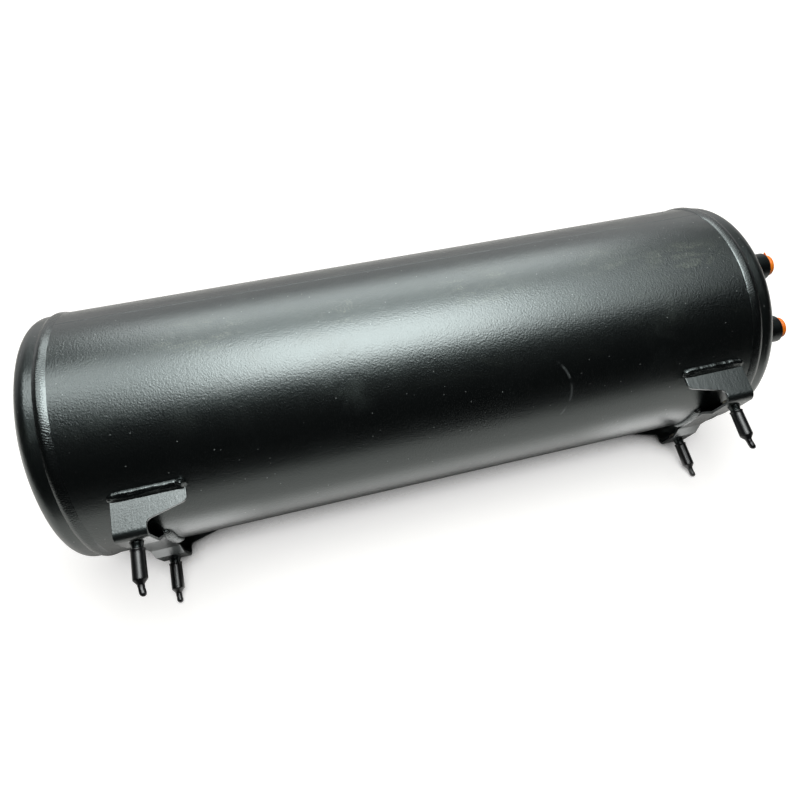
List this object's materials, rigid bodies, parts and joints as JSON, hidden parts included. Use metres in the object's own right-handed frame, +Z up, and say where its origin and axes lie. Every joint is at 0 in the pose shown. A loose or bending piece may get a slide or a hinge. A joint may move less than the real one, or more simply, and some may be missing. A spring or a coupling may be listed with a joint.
{
  "type": "air receiver tank",
  "caption": "Horizontal steel air receiver with dished ends, saddle brackets with capped mounting studs, and plugged ports on one end.",
  "frame": {"origin": "middle of the bottom face of the whole tank's box, with the tank lying on its girth welds and lower stud caps", "axes": "+X along the tank towards the end with ports; +Z up; the brackets and studs are on the -Y side, their studs pointing 21 degrees below -Y"},
  "size_m": [0.7622, 0.3072, 0.2438],
  "materials": {
    "tank_paint": "satin black powder coat",
    "weld_paint": "powder-coated weld bead",
    "plated_stud": "zinc plated thread",
    "black_vinyl": "glossy moulded vinyl",
    "orange_plastic": "moulded polyethylene"
  },
  "bodies": {
    "tank": {"lower_port_boss": "tank_paint", "lower_port_weld": "weld_paint", "plain_girth_weld": "weld_paint", "plain_head": "tank_paint", "plain_inboard_strip_weld": "weld_paint", "plain_lower_stud": "plated_stud", "plain_lower_wall_weld": "weld_paint", "plain_outboard_strip_weld": "weld_paint", "plain_saddle": "tank_paint", "plain_upper_stud": "plated_stud", "plain_upper_wall_weld": "weld_paint", "ported_girth_weld": "weld_paint", "ported_head": "tank_paint", "ported_inboard_strip_weld": "weld_paint", "ported_lower_stud": "plated_stud", "ported_lower_wall_weld": "weld_paint", "ported_outboard_strip_weld": "weld_paint", "ported_saddle": "tank_paint", "ported_upper_stud": "plated_stud", "ported_upper_wall_weld": "weld_paint", "seam_weld": "weld_paint", "shell": "tank_paint", "upper_port_boss": "tank_paint", "upper_port_weld": "weld_paint"},
    "plain_upper_stud_cap_body": {"plain_upper_stud_cap": "black_vinyl"},
    "plain_lower_stud_cap_body": {"plain_lower_stud_cap": "black_vinyl"},
    "ported_upper_stud_cap_body": {"ported_upper_stud_cap": "black_vinyl"},
    "ported_lower_stud_cap_body": {"ported_lower_stud_cap": "black_vinyl"},
    "upper_port_plug_body": {"upper_port_plug": "orange_plastic"},
    "lower_port_plug_body": {"lower_port_plug": "orange_plastic"}
  },
  "joints": [
    {"name": "plain_upper_stud_cap_pull", "type": "slide", "parent": "tank", "child": "plain_upper_stud_cap_body", "axis": [0, -0.9308, -0.3656], "range_m": [0, 0.035]},
    {"name": "plain_lower_stud_cap_pull", "type": "slide", "parent": "tank", "child": "plain_lower_stud_cap_body", "axis": [0, -0.9308, -0.3656], "range_m": [0, 0.035]},
    {"name": "ported_upper_stud_cap_pull", "type": "slide", "parent": "tank", "child": "ported_upper_stud_cap_body", "axis": [0, -0.9308, -0.3656], "range_m": [0, 0.035]},
    {"name": "ported_lower_stud_cap_pull", "type": "slide", "parent": "tank", "child": "ported_lower_stud_cap_body", "axis": [0, -0.9308, -0.3656], "range_m": [0, 0.035]},
    {"name": "upper_port_plug_pull", "type": "slide", "parent": "tank", "child": "upper_port_plug_body", "axis": [1, 0, 0], "range_m": [0, 0.022]},
    {"name": "lower_port_plug_pull", "type": "slide", "parent": "tank", "child": "lower_port_plug_body", "axis": [1, 0, 0], "range_m": [0, 0.022]}
  ]
}
